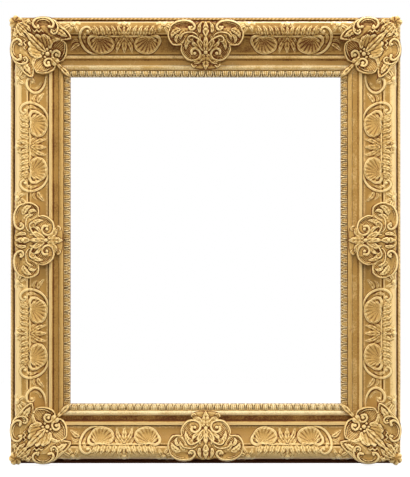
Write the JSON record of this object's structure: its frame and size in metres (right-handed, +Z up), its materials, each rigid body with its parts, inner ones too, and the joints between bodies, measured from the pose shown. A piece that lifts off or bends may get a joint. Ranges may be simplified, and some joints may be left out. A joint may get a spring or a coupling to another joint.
{
  "type": "picture frame",
  "caption": "Ornate gilded picture frame with corner and centre cartouches, scroll-and-shell panels, a leaf sight edge and a rebate for a standard size picture.",
  "frame": {"origin": "middle of the frame's opening, in the plane of the wall that the back rests against", "axes": "+X to the right seen from the front, +Z up, -Y out of the wall towards the viewer"},
  "size_m": [0.715, 0.0695, 0.817],
  "materials": {
    "gilded_moulding": "satin",
    "gilded_slip": "satin",
    "gilded_composition": "satin",
    "bare_pine": "matte",
    "hardware_brass": "satin",
    "zinc_steel": "satin"
  },
  "bodies": {
    "frame": {"rail_top": "gilded_moulding", "rail_left": "gilded_moulding", "rail_bottom": "gilded_moulding", "rail_right": "gilded_moulding", "back_top": "bare_pine", "back_left": "bare_pine", "back_bottom": "bare_pine", "back_right": "bare_pine", "sight_top": "gilded_slip", "sight_left": "gilded_slip", "sight_bottom": "gilded_slip", "sight_right": "gilded_slip", "corner_top_left": "gilded_composition", "corner_bottom_left": "gilded_composition", "corner_bottom_right": "gilded_composition", "corner_top_right": "gilded_composition", "centre_top": "gilded_composition", "centre_left": "gilded_composition", "centre_bottom": "gilded_composition", "centre_right": "gilded_composition", "scrolls_top_left": "gilded_composition", "scrolls_top_right": "gilded_composition", "scrolls_bottom_left": "gilded_composition", "scrolls_bottom_right": "gilded_composition", "scrolls_left_upper": "gilded_composition", "scrolls_left_lower": "gilded_composition", "scrolls_right_upper": "gilded_composition", "scrolls_right_lower": "gilded_composition", "crescent_left_upper": "gilded_composition", "crescent_left_lower": "gilded_composition", "crescent_right_upper": "gilded_composition", "crescent_right_lower": "gilded_composition", "buds_top": "gilded_composition", "buds_left": "gilded_composition", "buds_bottom": "gilded_composition", "buds_right": "gilded_composition", "frame_screws": "zinc_steel", "hanger_left": "hardware_brass", "hanger_right": "hardware_brass", "hanger_screws": "zinc_steel", "button_screws": "zinc_steel"},
    "ring_left": {"ring_left": "hardware_brass"},
    "ring_right": {"ring_right": "hardware_brass"},
    "turn_button_top": {"turn_button_top": "hardware_brass"},
    "turn_button_bottom": {"turn_button_bottom": "hardware_brass"},
    "turn_button_left_upper": {"turn_button_left_upper": "hardware_brass"},
    "turn_button_left_lower": {"turn_button_left_lower": "hardware_brass"},
    "turn_button_right_upper": {"turn_button_right_upper": "hardware_brass"},
    "turn_button_right_lower": {"turn_button_right_lower": "hardware_brass"}
  },
  "joints": [
    {"name": "left_ring_swing", "type": "hinge", "parent": "frame", "child": "ring_left", "pos_m": [-0.30325, 0.00308, 0.171], "axis": [-1, 0, 0], "range_deg": [0, 165]},
    {"name": "right_ring_swing", "type": "hinge", "parent": "frame", "child": "ring_right", "pos_m": [0.30325, 0.00308, 0.171], "axis": [-1, 0, 0], "range_deg": [0, 165]},
    {"name": "turn_button_top_turn", "type": "hinge", "parent": "frame", "child": "turn_button_top", "pos_m": [0, 0.00085, 0.3175], "axis": [0, 1, 0], "continuous": true},
    {"name": "turn_button_bottom_turn", "type": "hinge", "parent": "frame", "child": "turn_button_bottom", "pos_m": [0, 0.00085, -0.3175], "axis": [0, 1, 0], "continuous": true},
    {"name": "turn_button_left_upper_turn", "type": "hinge", "parent": "frame", "child": "turn_button_left_upper", "pos_m": [-0.2665, 0.00085, 0.17052], "axis": [0, 1, 0], "continuous": true},
    {"name": "turn_button_left_lower_turn", "type": "hinge", "parent": "frame", "child": "turn_button_left_lower", "pos_m": [-0.2665, 0.00085, -0.17052], "axis": [0, 1, 0], "continuous": true},
    {"name": "turn_button_right_upper_turn", "type": "hinge", "parent": "frame", "child": "turn_button_right_upper", "pos_m": [0.2665, 0.00085, 0.17052], "axis": [0, 1, 0], "continuous": true},
    {"name": "turn_button_right_lower_turn", "type": "hinge", "parent": "frame", "child": "turn_button_right_lower", "pos_m": [0.2665, 0.00085, -0.17052], "axis": [0, 1, 0], "continuous": true}
  ]
}
